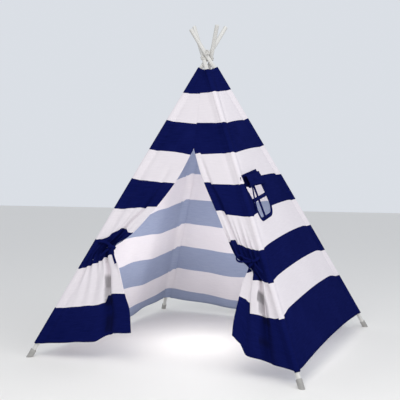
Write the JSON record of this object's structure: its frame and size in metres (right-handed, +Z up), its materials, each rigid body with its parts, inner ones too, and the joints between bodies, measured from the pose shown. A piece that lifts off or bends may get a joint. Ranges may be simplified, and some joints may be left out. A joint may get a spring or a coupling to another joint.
{
  "type": "play teepee tent",
  "caption": "Children's play teepee: crossed wooden poles tied at the top, a broad-striped cotton cover, a doorway with tied-back flaps and a small barred window.",
  "frame": {"origin": "on the floor, at the centre of the footprint of the feet", "axes": "+Z up, the doorway faces -Y and the window faces +X"},
  "size_m": [1.2381, 1.2464, 1.5031],
  "materials": {
    "pole_wood": "pale limewashed pine, satin",
    "cap_rubber": "matte grey rubber",
    "striped_cotton": "slubby plain-weave cotton with broad navy and cream stripes",
    "navy_cotton": "plain-weave navy cotton tape and cloth",
    "tie_cord": "twisted natural cotton cord"
  },
  "bodies": {
    "root": {"pole_left": "pole_wood", "pole_near": "pole_wood", "pole_right": "pole_wood", "pole_back": "pole_wood", "foot_cap_left": "cap_rubber", "foot_cap_near": "cap_rubber", "foot_cap_right": "cap_rubber", "foot_cap_back": "cap_rubber", "sleeve_left": "striped_cotton", "sleeve_near": "striped_cotton", "sleeve_right": "striped_cotton", "sleeve_back": "striped_cotton", "top_cord": "tie_cord", "door_panel_left": "striped_cotton", "door_panel_near": "striped_cotton", "rear_panel_right": "striped_cotton", "rear_panel_left": "striped_cotton", "window_panel": "striped_cotton", "window_binding": "navy_cotton", "window_bar_upright": "navy_cotton", "window_bar_level": "navy_cotton", "window_flap_roll": "navy_cotton", "window_roll_strap": "navy_cotton", "window_strap_tail": "navy_cotton", "tie_band_left": "navy_cotton", "tie_knot_left": "navy_cotton", "tie_tail_left_long": "navy_cotton", "tie_tail_left_short": "navy_cotton", "tie_band_near": "navy_cotton", "tie_knot_near": "navy_cotton", "tie_loop_near": "navy_cotton", "tie_tail_near": "navy_cotton"}
  },
  "joints": []
}
